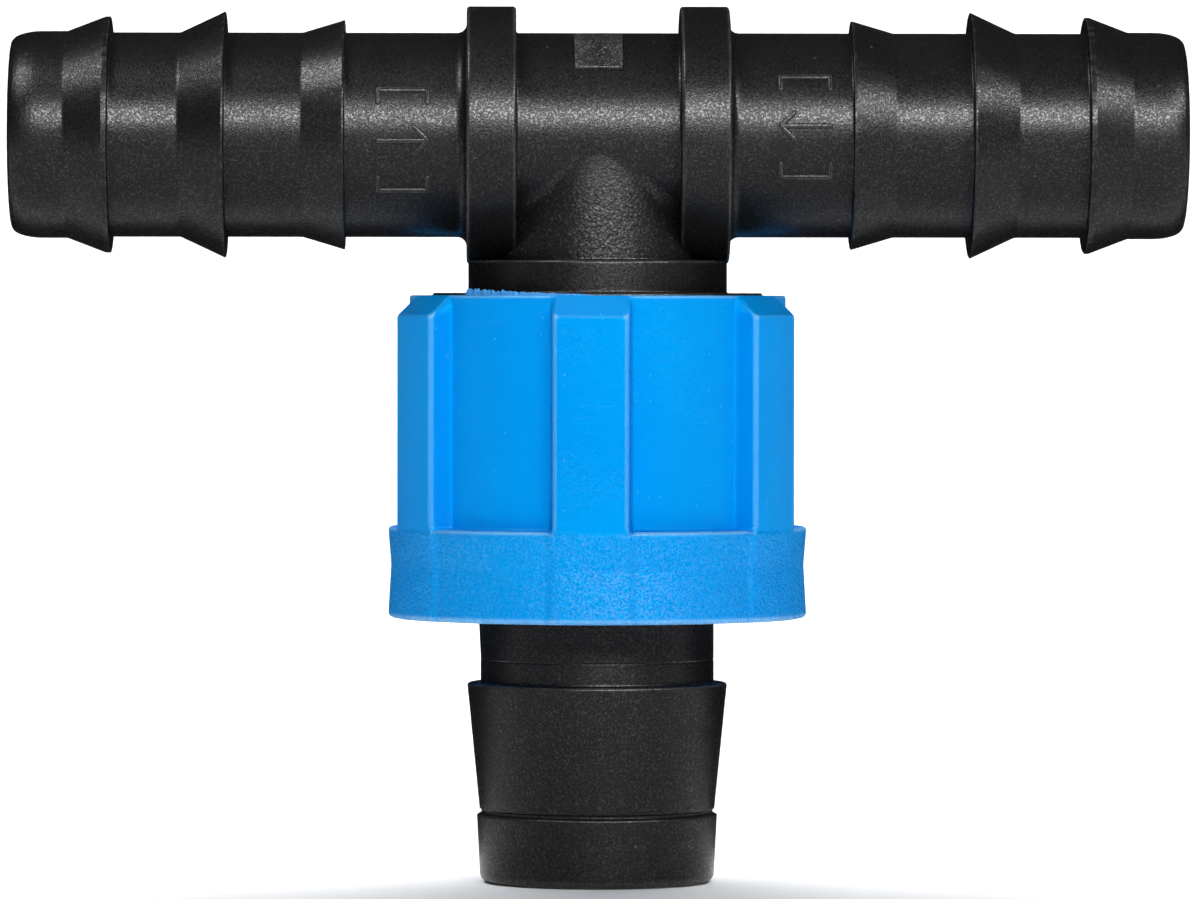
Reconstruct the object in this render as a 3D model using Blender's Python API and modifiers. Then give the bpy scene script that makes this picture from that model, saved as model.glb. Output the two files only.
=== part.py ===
"""Irrigation union tee: a hose tee with two barbed tails and a threaded branch, a ribbed union nut,
a swivelling tape spigot that the nut holds, and the flat washer that seals the joint.

Metres, +Z up. The run lies along X, the branch points down, and the spigot's end stands at Z = 0.
"""

import math

import bmesh
import bpy

MM = 0.001
SEGMENTS = 40  # flats round every turned surface
SEAT_GAP = 0.3 * MM  # left between pieces that press on each other in the real union

# Run and its two hose tails, for 16 mm drip pipe. Lengths along the run are measured from its middle.
AXIS_HEIGHT = 49.3 * MM
RUN_HALF_LENGTH = 38.6 * MM
TAIL_RADIUS = 6.7 * MM
TAIL_TIP_RADIUS = 6.78 * MM  # outside the end barb
TAIL_NOSE_RADIUS = 6.05 * MM
TAIL_NOSE_START = 36.6 * MM
RUN_BORE_RADIUS = 5.0 * MM
END_BARB = {"crest": 32.25 * MM, "ramp_start": 34.95 * MM, "radius": 7.75 * MM, "land": 0.33 * MM}
MIDDLE_BARB = {"crest": 24.56 * MM, "ramp_start": 27.5 * MM, "radius": 8.05 * MM, "land": 0.1 * MM}
INNER_BARB = {"crest": 16.72 * MM, "ramp_start": 19.45 * MM, "radius": 7.5 * MM, "land": 0.1 * MM}
RUN_COLLAR_RADIUS = 8.45 * MM
RUN_COLLAR_OUTER_FACE = 8.65 * MM
RUN_COLLAR_INNER_FACE = 5.39 * MM
COLLAR_FOOT = 0.6 * MM  # flare where a tail meets its collar
EDGE = 0.2 * MM  # small broken edge of the moulding

# Branch of the tee. Depths are measured down from the run's axis.
BRANCH_ROOT_DEPTH = 1.2 * MM
BRANCH_ROOT_RADIUS = 6.55 * MM
BRANCH_RADIUS = 6.73 * MM
BRANCH_COLLAR_RADIUS = 8.5 * MM
BRANCH_COLLAR_DEPTH = 8.25 * MM
THREAD_BAND_DEPTH = 10.36 * MM
THREAD_BAND_RADIUS = 10.85 * MM
THREAD_BAND_END = 11.3 * MM
TEE_END_DEPTH = 22.5 * MM
BRANCH_BORE_RADIUS = 5.0 * MM
TEE_MOUTH_RADIUS = 6.1 * MM
TEE_MOUTH_DEPTH = 14.0 * MM

# Right-hand thread of the union.
LEAD = 3.0 * MM
CORE_RADIUS = 9.7 * MM
MALE_CREST_RADIUS = 10.65 * MM
MALE_LOW_END = 21.0 * MM
MALE_TURNS = 2.8
FEMALE_CREST_RADIUS = 10.1 * MM
FEMALE_LOW_END = MALE_LOW_END - LEAD / 2
FEMALE_TURNS = 2.1
RIB_ROOT_WIDTH = 1.6 * MM
RIB_CREST_WIDTH = 0.75 * MM
RIB_SINK = 0.3 * MM  # how far a thread rib is buried in the wall it stands on

# Union nut.
NUT_TOP_DEPTH = 10.56 * MM
NUT_BOTTOM_DEPTH = 31.8 * MM
NUT_BODY_RADIUS = 12.4 * MM
NUT_RIB_RADIUS = 13.86 * MM
NUT_RIB_COUNT = 6
NUT_RIB_WIDTH = math.radians(20)
NUT_FRONT_RIB_TURN = math.radians(-2.5)
NUT_RIB_FULL_DEPTH = 11.9 * MM
NUT_SKIRT_DEPTH = 25.8 * MM
NUT_WAIST_DEPTH = 28.3 * MM
NUT_WAIST_RADIUS = 13.66 * MM
NUT_WALL_RADIUS = 11.1 * MM
NUT_HOLE_RADIUS = 8.75 * MM
NUT_SHOULDER_THICKNESS = 1.4 * MM
NUT_FUNNEL_RADIUS = 11.3 * MM

# Sealing washer and tape spigot.
WASHER_INNER_RADIUS = 6.5 * MM
WASHER_OUTER_RADIUS = 9.2 * MM
WASHER_THICKNESS = 1.4 * MM
FLANGE_RADIUS = 9.85 * MM
FLANGE_THICKNESS = 2.2 * MM
SPIGOT_LIP_RADIUS = 6.35 * MM - EDGE
SPIGOT_BORE_RADIUS = 5.2 * MM
NECK_RADIUS = 7.66 * MM
CONE_TOP_DEPTH = 36.1 * MM
CONE_TOP_RADIUS = 8.55 * MM
CONE_END_DEPTH = 44.5 * MM
CONE_END_RADIUS = 7.7 * MM
END_BARB_DEPTH = 44.8 * MM
END_BARB_RADIUS = 7.9 * MM
SPIGOT_END_RADIUS = 7.65 * MM
SPIGOT_END_ROUND = 0.6 * MM

WASHER_TOP_DEPTH = TEE_END_DEPTH + SEAT_GAP
FLANGE_TOP_DEPTH = WASHER_TOP_DEPTH + WASHER_THICKNESS + SEAT_GAP
FLANGE_BOTTOM_DEPTH = FLANGE_TOP_DEPTH + FLANGE_THICKNESS
SHOULDER_DEPTH = FLANGE_BOTTOM_DEPTH + SEAT_GAP


def clear_scene():
    for obj in list(bpy.data.objects):
        bpy.data.objects.remove(obj, do_unlink=True)


def new_collection(name):
    collection = bpy.data.collections.new(name)
    bpy.context.scene.collection.children.link(collection)
    return collection


def new_material(name, colour, roughness):
    material = bpy.data.materials.new(name)
    material.use_nodes = True
    shader = material.node_tree.nodes["Principled BSDF"]
    shader.inputs["Base Color"].default_value = (*colour, 1.0)
    shader.inputs["Roughness"].default_value = roughness
    shader.inputs["Metallic"].default_value = 0.0
    return material


def depths(*outline):
    """Turns (radius, depth below the run's axis) points into (radius, height) ones."""
    return [(radius, -depth) for radius, depth in outline]


def outline_object(name, outline, collection, closed):
    """The outline as a wire of edges in the XZ plane, ready for a Screw modifier."""
    shape = bmesh.new()
    corners = [shape.verts.new((radius, 0, height)) for radius, height in outline]
    for start, end in zip(corners, corners[1:]):
        shape.edges.new((start, end))
    if closed:
        shape.edges.new((corners[-1], corners[0]))
    mesh = bpy.data.meshes.new(name)
    shape.to_mesh(mesh)
    shape.free()
    obj = bpy.data.objects.new(name, mesh)
    collection.objects.link(obj)
    return obj


def turned(name, outline, collection, closed=False):
    """A turned piece: the outline runs down the outer side, and back up the inner one where it is closed."""
    obj = outline_object(name, outline, collection, closed)
    turn = obj.modifiers.new("turn", "SCREW")
    turn.steps = SEGMENTS
    turn.render_steps = SEGMENTS
    turn.use_merge_vertices = True
    turn.merge_threshold = 0.01 * MM
    turn.use_smooth_shade = True
    return obj


def evaluated_mesh(obj):
    graph = bpy.context.evaluated_depsgraph_get()
    return bpy.data.meshes.new_from_object(obj.evaluated_get(graph))


def thread_rib(name, root_radius, crest_radius, low_end, turns, collection):
    """A helical rib with a trapezoid section, rising LEAD a turn from low_end, with flat closed ends."""
    outline = [
        (root_radius, RIB_ROOT_WIDTH / 2),
        (crest_radius, RIB_CREST_WIDTH / 2),
        (crest_radius, -RIB_CREST_WIDTH / 2),
        (root_radius, -RIB_ROOT_WIDTH / 2),
    ]
    obj = outline_object(name, [(r, h - low_end) for r, h in outline], collection, closed=True)
    helix = obj.modifiers.new("helix", "SCREW")
    helix.angle = turns * math.tau
    helix.screw_offset = turns * LEAD
    helix.steps = round(turns * SEGMENTS)
    helix.render_steps = helix.steps
    mesh = evaluated_mesh(obj)
    shape = bmesh.new()
    shape.from_mesh(mesh)
    bmesh.ops.holes_fill(shape, edges=shape.edges, sides=len(outline))
    bmesh.ops.recalc_face_normals(shape, faces=shape.faces)
    shape.to_mesh(mesh)
    shape.free()
    obj.modifiers.clear()
    obj.data = mesh
    return obj


def boolean(target, other, operation):
    step = target.modifiers.new(f"{operation.lower()}_{other.name}", "BOOLEAN")
    step.operation = operation
    step.solver = "EXACT"
    step.object = other


def hide_helpers(collection):
    for obj in collection.objects:
        obj.hide_render = True
        obj.display_type = "WIRE"


def finish(obj, material, parent):
    """Gives a piece its material and hangs it on the branch's axis."""
    obj.data.materials.clear()
    obj.data.materials.append(material)
    obj.parent = parent


def barb(barb_size, foot_radius=TAIL_RADIUS):
    """Ramp from foot_radius up to a barb's crest, and its steep back, from the hose end inwards."""
    crest, land = barb_size["crest"], barb_size["land"]
    return [
        (foot_radius, barb_size["ramp_start"]),
        (barb_size["radius"], crest + land / 2),
        (barb_size["radius"], crest - land / 2),
        (TAIL_RADIUS, crest - land / 2),
    ]


def half_run_outline():
    """Outer side of one tail and its collar, from the open end to the middle of the run."""
    nose_depth = TAIL_TIP_RADIUS - TAIL_NOSE_RADIUS
    nose_length = RUN_HALF_LENGTH - TAIL_NOSE_START
    nose = [
        (TAIL_NOSE_RADIUS + nose_depth * math.sin(t), RUN_HALF_LENGTH - nose_length * (1 - math.cos(t)))
        for t in (0, math.radians(30), math.radians(60), math.radians(90))
    ]
    foot_end = RUN_COLLAR_OUTER_FACE + COLLAR_FOOT
    collar = [
        (TAIL_RADIUS, foot_end),
        (TAIL_RADIUS + 0.3 * COLLAR_FOOT, RUN_COLLAR_OUTER_FACE + 0.3 * COLLAR_FOOT),
        (TAIL_RADIUS + COLLAR_FOOT, RUN_COLLAR_OUTER_FACE),
        (RUN_COLLAR_RADIUS - EDGE, RUN_COLLAR_OUTER_FACE),
        (RUN_COLLAR_RADIUS, RUN_COLLAR_OUTER_FACE - EDGE),
        (RUN_COLLAR_RADIUS, RUN_COLLAR_INNER_FACE + EDGE),
        (RUN_COLLAR_RADIUS - EDGE, RUN_COLLAR_INNER_FACE),
        (TAIL_RADIUS, RUN_COLLAR_INNER_FACE),
    ]
    return nose + barb(END_BARB, TAIL_TIP_RADIUS) + barb(MIDDLE_BARB) + barb(INNER_BARB) + collar


def run_outline():
    half = half_run_outline()
    other_half = [(radius, -along) for radius, along in reversed(half)]
    return [(0, RUN_HALF_LENGTH), *half, *other_half, (0, -RUN_HALF_LENGTH)]


def branch_outline():
    """Branch, its collar, the plain band above the thread and the thread's core."""
    return depths(
        (0, BRANCH_ROOT_DEPTH),
        (BRANCH_ROOT_RADIUS, BRANCH_ROOT_DEPTH),
        (BRANCH_RADIUS, BRANCH_COLLAR_DEPTH),
        (BRANCH_COLLAR_RADIUS - EDGE, BRANCH_COLLAR_DEPTH),
        (BRANCH_COLLAR_RADIUS, BRANCH_COLLAR_DEPTH + EDGE),
        (BRANCH_COLLAR_RADIUS, THREAD_BAND_DEPTH),
        (THREAD_BAND_RADIUS - EDGE, THREAD_BAND_DEPTH),
        (THREAD_BAND_RADIUS, THREAD_BAND_DEPTH + EDGE),
        (THREAD_BAND_RADIUS, THREAD_BAND_END),
        (CORE_RADIUS, THREAD_BAND_END + THREAD_BAND_RADIUS - CORE_RADIUS),
        (CORE_RADIUS, TEE_END_DEPTH - 2 * EDGE),
        (CORE_RADIUS - 2 * EDGE, TEE_END_DEPTH),
        (0, TEE_END_DEPTH),
    )


def branch_bore_outline():
    """Waterway of the branch, opening out towards the union's face, and past it."""
    past_face = TEE_END_DEPTH + 1 * MM
    return depths(
        (0, 0),
        (BRANCH_BORE_RADIUS, 0),
        (BRANCH_BORE_RADIUS, TEE_MOUTH_DEPTH - 2 * MM),
        (TEE_MOUTH_RADIUS, TEE_MOUTH_DEPTH),
        (TEE_MOUTH_RADIUS, past_face),
        (0, past_face),
    )


def run_bore(collection):
    reach = RUN_HALF_LENGTH + 1 * MM
    outline = [(0, reach), (RUN_BORE_RADIUS, reach), (RUN_BORE_RADIUS, -reach), (0, -reach)]
    return turned("run_bore", outline, collection)


def make_tee_body(pieces, helpers, plastic, centre):
    """Run, tails, collars, branch and male thread: one moulding, cut through by its two waterways."""
    tee = turned("tee_body", run_outline(), pieces)
    tee.rotation_euler = (0, math.pi / 2, 0)
    branch = turned("branch_solid", branch_outline(), helpers)
    rib = thread_rib(
        "male_thread", CORE_RADIUS - RIB_SINK, MALE_CREST_RADIUS, MALE_LOW_END, MALE_TURNS, helpers
    )
    along_run = run_bore(helpers)
    along_run.rotation_euler = (0, math.pi / 2, 0)
    down_branch = turned("branch_bore", branch_bore_outline(), helpers)
    for helper in (branch, rib, along_run, down_branch):
        helper.parent = centre
    boolean(tee, branch, "UNION")
    boolean(tee, rib, "UNION")
    boolean(tee, along_run, "DIFFERENCE")
    boolean(tee, down_branch, "DIFFERENCE")
    finish(tee, plastic, centre)


def nut_outline():
    """Outer side of the nut at its ribs, then its bottom, funnel, inner shoulder and threaded wall."""
    hole_end = SHOULDER_DEPTH + NUT_SHOULDER_THICKNESS
    return depths(
        (NUT_BODY_RADIUS, NUT_TOP_DEPTH),
        (NUT_RIB_RADIUS, NUT_RIB_FULL_DEPTH),
        (NUT_RIB_RADIUS, NUT_SKIRT_DEPTH),
        (NUT_WAIST_RADIUS, NUT_WAIST_DEPTH),
        (NUT_RIB_RADIUS, NUT_BOTTOM_DEPTH - 2 * EDGE),
        (NUT_RIB_RADIUS - 2 * EDGE, NUT_BOTTOM_DEPTH),
        (NUT_FUNNEL_RADIUS, NUT_BOTTOM_DEPTH),
        (NUT_HOLE_RADIUS, hole_end),
        (NUT_HOLE_RADIUS, SHOULDER_DEPTH),
        (NUT_WALL_RADIUS, SHOULDER_DEPTH),
        (NUT_WALL_RADIUS, NUT_TOP_DEPTH + EDGE),
        (NUT_WALL_RADIUS + EDGE, NUT_TOP_DEPTH),
    )


def grip_pockets(collection):
    """Six cutters for the hollows between the ribs, each a sector outline that is extruded down to the skirt."""
    flat = bpy.data.curves.new("grip_pockets", "CURVE")
    flat.dimensions = "2D"
    flat.fill_mode = "BOTH"
    top = -NUT_TOP_DEPTH + 1 * MM
    bottom = -NUT_SKIRT_DEPTH
    flat.extrude = (top - bottom) / 2
    pitch = math.tau / NUT_RIB_COUNT
    half_width = (pitch - NUT_RIB_WIDTH) / 2
    front = -math.pi / 2 + NUT_FRONT_RIB_TURN
    reach = NUT_RIB_RADIUS + 2 * MM
    arc_steps = 5
    for number in range(NUT_RIB_COUNT):
        middle = front + (number + 0.5) * pitch
        turns = [middle - half_width + 2 * half_width * step / arc_steps for step in range(arc_steps + 1)]
        floor = [(NUT_BODY_RADIUS * math.cos(t), NUT_BODY_RADIUS * math.sin(t)) for t in turns]
        rim = [(reach * math.cos(t), reach * math.sin(t)) for t in reversed(turns)]
        spline = flat.splines.new("POLY")
        spline.use_cyclic_u = True
        spline.points.add(len(floor + rim) - 1)
        for point, (x, y) in zip(spline.points, floor + rim):
            point.co = (x, y, 0, 1)
    guide = bpy.data.objects.new("grip_pockets_outline", flat)
    collection.objects.link(guide)
    mesh = evaluated_mesh(guide)
    shape = bmesh.new()
    shape.from_mesh(mesh)
    bmesh.ops.remove_doubles(shape, verts=shape.verts, dist=0.01 * MM)
    bmesh.ops.recalc_face_normals(shape, faces=shape.faces)
    shape.to_mesh(mesh)
    shape.free()
    cutter = bpy.data.objects.new("grip_pockets", mesh)
    cutter.location = (0, 0, (top + bottom) / 2)
    collection.objects.link(cutter)
    bpy.data.objects.remove(guide)
    return cutter


def make_union_nut(pieces, helpers, plastic, centre):
    nut = turned("union_nut", nut_outline(), pieces, closed=True)
    pockets = grip_pockets(helpers)
    rib = thread_rib(
        "female_thread",
        NUT_WALL_RADIUS + RIB_SINK,
        FEMALE_CREST_RADIUS,
        FEMALE_LOW_END,
        FEMALE_TURNS,
        helpers,
    )
    for helper in (pockets, rib):
        helper.parent = centre
    boolean(nut, pockets, "DIFFERENCE")
    boolean(nut, rib, "UNION")
    finish(nut, plastic, centre)


def spigot_outline():
    """Flange and its centring lip, neck, tape cone with a sharp shoulder, end barb, and the waterway."""
    lip_top = WASHER_TOP_DEPTH + EDGE
    return depths(
        (SPIGOT_LIP_RADIUS, lip_top),
        (SPIGOT_LIP_RADIUS, FLANGE_TOP_DEPTH),
        (FLANGE_RADIUS, FLANGE_TOP_DEPTH),
        (FLANGE_RADIUS, FLANGE_BOTTOM_DEPTH),
        (NECK_RADIUS, FLANGE_BOTTOM_DEPTH),
        (NECK_RADIUS, CONE_TOP_DEPTH),
        (CONE_TOP_RADIUS - EDGE, CONE_TOP_DEPTH),
        (CONE_TOP_RADIUS, CONE_TOP_DEPTH + EDGE),
        (CONE_END_RADIUS, CONE_END_DEPTH),
        (END_BARB_RADIUS, END_BARB_DEPTH),
        (SPIGOT_END_RADIUS, AXIS_HEIGHT - SPIGOT_END_ROUND),
        (SPIGOT_END_RADIUS - 0.3 * SPIGOT_END_ROUND, AXIS_HEIGHT - 0.3 * SPIGOT_END_ROUND),
        (SPIGOT_END_RADIUS - SPIGOT_END_ROUND, AXIS_HEIGHT),
        (SPIGOT_BORE_RADIUS, AXIS_HEIGHT),
        (SPIGOT_BORE_RADIUS, lip_top),
    )


def make_tape_spigot(pieces, plastic, centre):
    spigot = turned("tape_spigot", spigot_outline(), pieces, closed=True)
    finish(spigot, plastic, centre)


def make_sealing_washer(pieces, rubber, centre):
    top = WASHER_TOP_DEPTH
    bottom = top + WASHER_THICKNESS
    outline = depths(
        (WASHER_OUTER_RADIUS, top),
        (WASHER_OUTER_RADIUS, bottom),
        (WASHER_INNER_RADIUS, bottom),
        (WASHER_INNER_RADIUS, top),
    )
    washer = turned("sealing_washer", outline, pieces, closed=True)
    finish(washer, rubber, centre)


def main():
    clear_scene()
    pieces = new_collection("union_fitting")
    helpers = new_collection("helpers")
    centre = bpy.data.objects.new("run_and_branch_crossing", None)
    centre.location = (0, 0, AXIS_HEIGHT)
    pieces.objects.link(centre)
    black = new_material("black_polypropylene", (0.012, 0.012, 0.013), 0.45)
    blue = new_material("blue_polypropylene", (0.0, 0.27, 0.85), 0.4)
    rubber = new_material("black_rubber", (0.02, 0.02, 0.02), 0.75)
    make_tee_body(pieces, helpers, black, centre)
    make_union_nut(pieces, helpers, blue, centre)
    make_tape_spigot(pieces, black, centre)
    make_sealing_washer(pieces, rubber, centre)
    hide_helpers(helpers)


main()
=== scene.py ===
"""Looks of an irrigation union tee: a black moulded hose tee, a blue ribbed union nut, the black
tape spigot that the nut holds, and the rubber washer between them.

Lengths are metres. +X runs along the tee's run, +Z up the branch, and -Y faces the viewer. A depth is
measured down from the run's axis, and a place is measured along X from the middle of the run.
"""

import math

import bmesh
import bpy
import numpy as np
from mathutils import Matrix, Vector


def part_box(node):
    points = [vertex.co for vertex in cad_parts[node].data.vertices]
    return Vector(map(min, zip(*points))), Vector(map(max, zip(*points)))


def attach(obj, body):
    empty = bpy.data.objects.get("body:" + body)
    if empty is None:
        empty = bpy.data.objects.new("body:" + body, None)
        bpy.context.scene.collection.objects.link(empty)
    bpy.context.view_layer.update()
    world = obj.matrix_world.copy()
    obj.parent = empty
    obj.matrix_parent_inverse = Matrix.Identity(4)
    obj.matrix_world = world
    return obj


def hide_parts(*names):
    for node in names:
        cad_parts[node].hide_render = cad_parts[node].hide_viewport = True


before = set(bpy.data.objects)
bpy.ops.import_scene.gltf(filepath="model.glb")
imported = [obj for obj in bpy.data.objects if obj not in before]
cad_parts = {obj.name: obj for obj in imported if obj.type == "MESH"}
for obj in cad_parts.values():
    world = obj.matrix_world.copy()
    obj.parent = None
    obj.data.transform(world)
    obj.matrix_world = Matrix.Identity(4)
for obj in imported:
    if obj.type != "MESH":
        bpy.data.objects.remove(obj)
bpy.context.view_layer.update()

MM = 0.001
TAU = 2 * math.pi
tee_low, tee_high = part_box("tee_body")
nut_low, nut_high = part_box("union_nut")
spigot_low, spigot_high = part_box("tape_spigot")
washer_low, washer_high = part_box("sealing_washer")

# Run and its two hose tails.
RUN_HALF = tee_high.x
RUN_COLLAR = 8.45 * MM
AXIS_Z = tee_high.z - RUN_COLLAR
TAIL = 6.7 * MM
TAIL_TIP = 6.78 * MM  # outside the end barb
NOSE = 6.05 * MM
NOSE_LENGTH = 2.0 * MM
RUN_BORE = 5.0 * MM
COLLAR_OUTER = 8.65 * MM
COLLAR_INNER = 5.39 * MM
BARBS = (  # place of the crest, where its ramp starts, radius and width of the crest
    (32.25 * MM, 34.95 * MM, 7.75 * MM, 0.33 * MM),
    (24.56 * MM, 27.5 * MM, 8.05 * MM, 0.12 * MM),
    (16.72 * MM, 19.45 * MM, 7.5 * MM, 0.12 * MM),
)

# Branch of the tee, down to its threaded end.
BRANCH_TOP = 0.8 * MM
BRANCH_ROOT = 6.53 * MM
BRANCH_FOOT = 6.73 * MM
ROOT_FILLET = 1.2 * MM
BRANCH_COLLAR = 8.5 * MM
BRANCH_COLLAR_TOP = 8.25 * MM
BAND = 10.85 * MM
BAND_TOP = 10.4 * MM
BAND_BOTTOM = 11.3 * MM
TEE_END = AXIS_Z - tee_low.z
BRANCH_BORE = 5.0 * MM
MOUTH = 6.1 * MM
MOUTH_TOP = 14.0 * MM

# Right-hand thread.
LEAD = 3.0 * MM
THREAD_CORE = 9.7 * MM
MALE_CREST = 10.65 * MM
MALE_LOW_END = 21.0 * MM
MALE_TURNS = 2.8
FEMALE_CREST = 10.1 * MM
FEMALE_LOW_END = MALE_LOW_END - LEAD / 2
FEMALE_TURNS = 2.1
RIB_ROOT = 1.6 * MM
RIB_CREST = 0.75 * MM

# Union nut.
NUT_TOP = AXIS_Z - nut_high.z
NUT_BOTTOM = AXIS_Z - nut_low.z
NUT_BODY = 12.4 * MM
NUT_RIB = 13.86 * MM
NUT_RIBS = 6
RIB_HALF_WIDTH = math.radians(10.1)
RIB_FOOT_HALF_WIDTH = math.radians(12.3)
FRONT_RIB = -math.pi / 2 - math.radians(2.5)
RIB_FULL = 11.9 * MM
SKIRT_TOP = 25.8 * MM
WAIST = 28.3 * MM
SKIRT_STEP = 0.15 * MM  # from a rib's face to the recess's on the skirt
NUT_WALL = 11.1 * MM
NUT_HOLE = 8.75 * MM
SHOULDER_TOP = 27.0 * MM
SHOULDER_BOTTOM = 28.4 * MM
FUNNEL = 11.3 * MM

# Sealing washer and tape spigot.
WASHER_TOP = AXIS_Z - washer_high.z
WASHER_BOTTOM = AXIS_Z - washer_low.z
LIP_TOP = AXIS_Z - spigot_high.z
SPIGOT_BOTTOM = AXIS_Z - spigot_low.z
WASHER_OUTER = 9.2 * MM
WASHER_INNER = 6.5 * MM
SEAT_GAP = 0.3 * MM  # between pieces that press on each other in the real union
FLANGE_TOP = WASHER_BOTTOM + SEAT_GAP
FLANGE_BOTTOM = SHOULDER_TOP - SEAT_GAP
LIP = 6.15 * MM
FLANGE = 9.85 * MM
NECK = 7.66 * MM
NECK_LINE = 34.58 * MM  # faint line round the neck
CONE_TOP = 36.1 * MM
CONE_SHOULDER = 8.55 * MM
CONE_FOOT = 7.72 * MM
END_GROOVE = 7.6 * MM
END_BARB = 7.9 * MM
SPIGOT_END = 7.65 * MM
SPIGOT_BORE = 5.2 * MM

ROUND_STEPS = 160  # even turns round the mouldings
INSIDE_STEPS = 120  # and round the bores and the washer


# Surfaces ---------------------------------------------------------------------------------------

def rounded(corners, spans=1, closed=False, arc_steps=5, hold=0.12 * MM):
    """Outline through (radius, depth, rounding) corners. Each corner is a circular arc of its rounding,
    cut short where a side is too short for it. Each straight side has spans equal steps, and a point a
    hold away from each of its ends, so that two outlines with the same corners have the same points."""
    points = np.array([corner[:2] for corner in corners], float)
    arcs = []
    for i, here in enumerate(points):
        if not closed and i in (0, len(points) - 1):
            arcs.append(here[None])
            continue
        back, ahead = points[i - 1] - here, points[(i + 1) % len(points)] - here
        back_length, ahead_length = np.linalg.norm(back), np.linalg.norm(ahead)
        back, ahead = back / back_length, ahead / ahead_length
        half = math.acos(np.clip(back @ ahead, -1, 1)) / 2
        rounding = max(corners[i][2], 0.004 * MM)
        cut = min(rounding / max(math.tan(half), 1e-6), 0.4 * back_length, 0.4 * ahead_length)
        shares = np.linspace(0, 1, arc_steps + 1)[:, None]
        if half > math.radians(89.5):
            reach = min(rounding, 0.3 * back_length, 0.3 * ahead_length)
            arcs.append(here + back * reach * (1 - shares) + ahead * reach * shares)
            continue
        across = back + ahead
        middle = here + across / np.linalg.norm(across) * cut / math.cos(half)
        sweep = math.pi - 2 * half
        start, end = here + back * cut - middle, here + ahead * cut - middle
        bow = np.sin((1 - shares) * sweep) * start + np.sin(shares * sweep) * end
        arcs.append(middle + bow / math.sin(sweep))
    out = [arcs[0]]
    for i, arc in enumerate(arcs[1:] + arcs[:1] * closed):
        side = arc[0] - out[-1][-1]
        length = np.linalg.norm(side)
        near = min(hold / max(length, 1e-9), 0.3)
        shares = np.linspace(near, 1 - near, spans + 1)[:, None]
        out.append(out[-1][-1] + side * shares)
        if i < len(arcs) - 1:
            out.append(arc)
    return np.vstack(out)


def grid_mesh(name, points, rows_close=False, columns_close=True):
    """Closed mesh of a grid of points, rows by columns by 3. Quads join neighbours, and join the last row
    or column to the first where it closes. Doubles are merged, so that a row at one point is a pole,
    and the faces are turned outwards by the sign of the volume that they hold."""
    rows, columns = points.shape[:2]
    numbers = np.arange(rows * columns).reshape(rows, columns)
    if rows_close:
        numbers = np.vstack([numbers, numbers[:1]])
    if columns_close:
        numbers = np.hstack([numbers, numbers[:, :1]])
    quads = np.stack([numbers[:-1, :-1], numbers[1:, :-1], numbers[1:, 1:], numbers[:-1, 1:]], -1)
    quads = quads.reshape(-1, 4)
    flat = points.reshape(-1, 3)
    a, b, c, d = (flat[quads[:, i]] for i in range(4))
    volume = np.sum(np.cross(a, b) * c) + np.sum(np.cross(a, c) * d)
    if volume < 0:
        quads = quads[:, ::-1]
    mesh = bpy.data.meshes.new(name)
    mesh.vertices.add(rows * columns)
    mesh.vertices.foreach_set("co", flat.astype(np.float32).ravel())
    mesh.loops.add(quads.size)
    mesh.loops.foreach_set("vertex_index", quads.astype(np.int32).ravel())
    mesh.polygons.add(len(quads))
    mesh.polygons.foreach_set("loop_start", np.arange(0, quads.size, 4, dtype=np.int32))
    mesh.update(calc_edges=True)
    return tidied(mesh, 0.1e-6)


def tidied(mesh, merge):
    """The mesh with points nearer than merge made one, and no faces or edges of zero size."""
    shape = bmesh.new()
    shape.from_mesh(mesh)
    bmesh.ops.remove_doubles(shape, verts=shape.verts, dist=merge)
    bmesh.ops.dissolve_degenerate(shape, edges=shape.edges, dist=merge)
    shape.to_mesh(mesh)
    shape.free()
    mesh.validate()
    return mesh


def turned_points(outline, turns, change=None):
    """Grid round the branch's axis: (r cos t, r sin t, axis height - depth) for each outline point (r,
    depth) and turn t. change(t, depth, r) gives a length to add to r."""
    radius = outline[:, :1] + 0 * turns
    depth = outline[:, 1:2] + 0 * turns
    t = turns + 0 * depth
    if change is not None:
        radius = radius + change(t, depth, radius)
    return np.stack([radius * np.cos(t), radius * np.sin(t), AXIS_Z - depth], -1)


def run_points(outline, turns, change=None):
    """Grid round the run's axis: (place, r sin t, axis height - r cos t) for each outline point (r,
    place) and turn t, so that t = 0 faces down."""
    points = turned_points(outline, turns, change)
    return np.stack([AXIS_Z - points[..., 2], points[..., 1], AXIS_Z - points[..., 0]], -1)


def helix_mesh(name, root, crest, low_end, turns):
    """Thread rib: a trapezoid section of (radius, height) carried up a right-hand helix at 48 steps a
    turn, which rises LEAD a turn from low_end. The crest sinks to the root over an eighth of a turn at
    each end."""
    along = np.linspace(0, turns, round(turns * 48) + 1)[:, None]
    fade = np.clip(np.minimum(along, turns - along) / 0.125, 0, 1)
    fade = fade * fade * (3 - 2 * fade)
    sink = 0.3 * MM * np.sign(crest - root)
    outline = rounded(
        [
            (root - sink, -RIB_ROOT / 2 - 0.1 * MM, 0),
            (root - sink, RIB_ROOT / 2 + 0.1 * MM, 0),
            (root, RIB_ROOT / 2, 0.1 * MM),
            (crest, RIB_CREST / 2, 0.15 * MM),
            (crest, -RIB_CREST / 2, 0.15 * MM),
            (root, -RIB_ROOT / 2, 0.1 * MM),
        ],
        closed=True,
        arc_steps=3,
    )
    low = outline[:, 0] - (root - sink)
    radius = root - sink + low * np.where(fade > 0, 0.2 + 0.8 * fade, 0)
    height = outline[:, 1] * np.where(fade > 0, 0.3 + 0.7 * fade, 0) - low_end + LEAD * along
    t = TAU * along + 0 * height
    points = np.stack([radius * np.cos(t), radius * np.sin(t), AXIS_Z + height], -1)
    return grid_mesh(name, points, columns_close=True)


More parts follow.
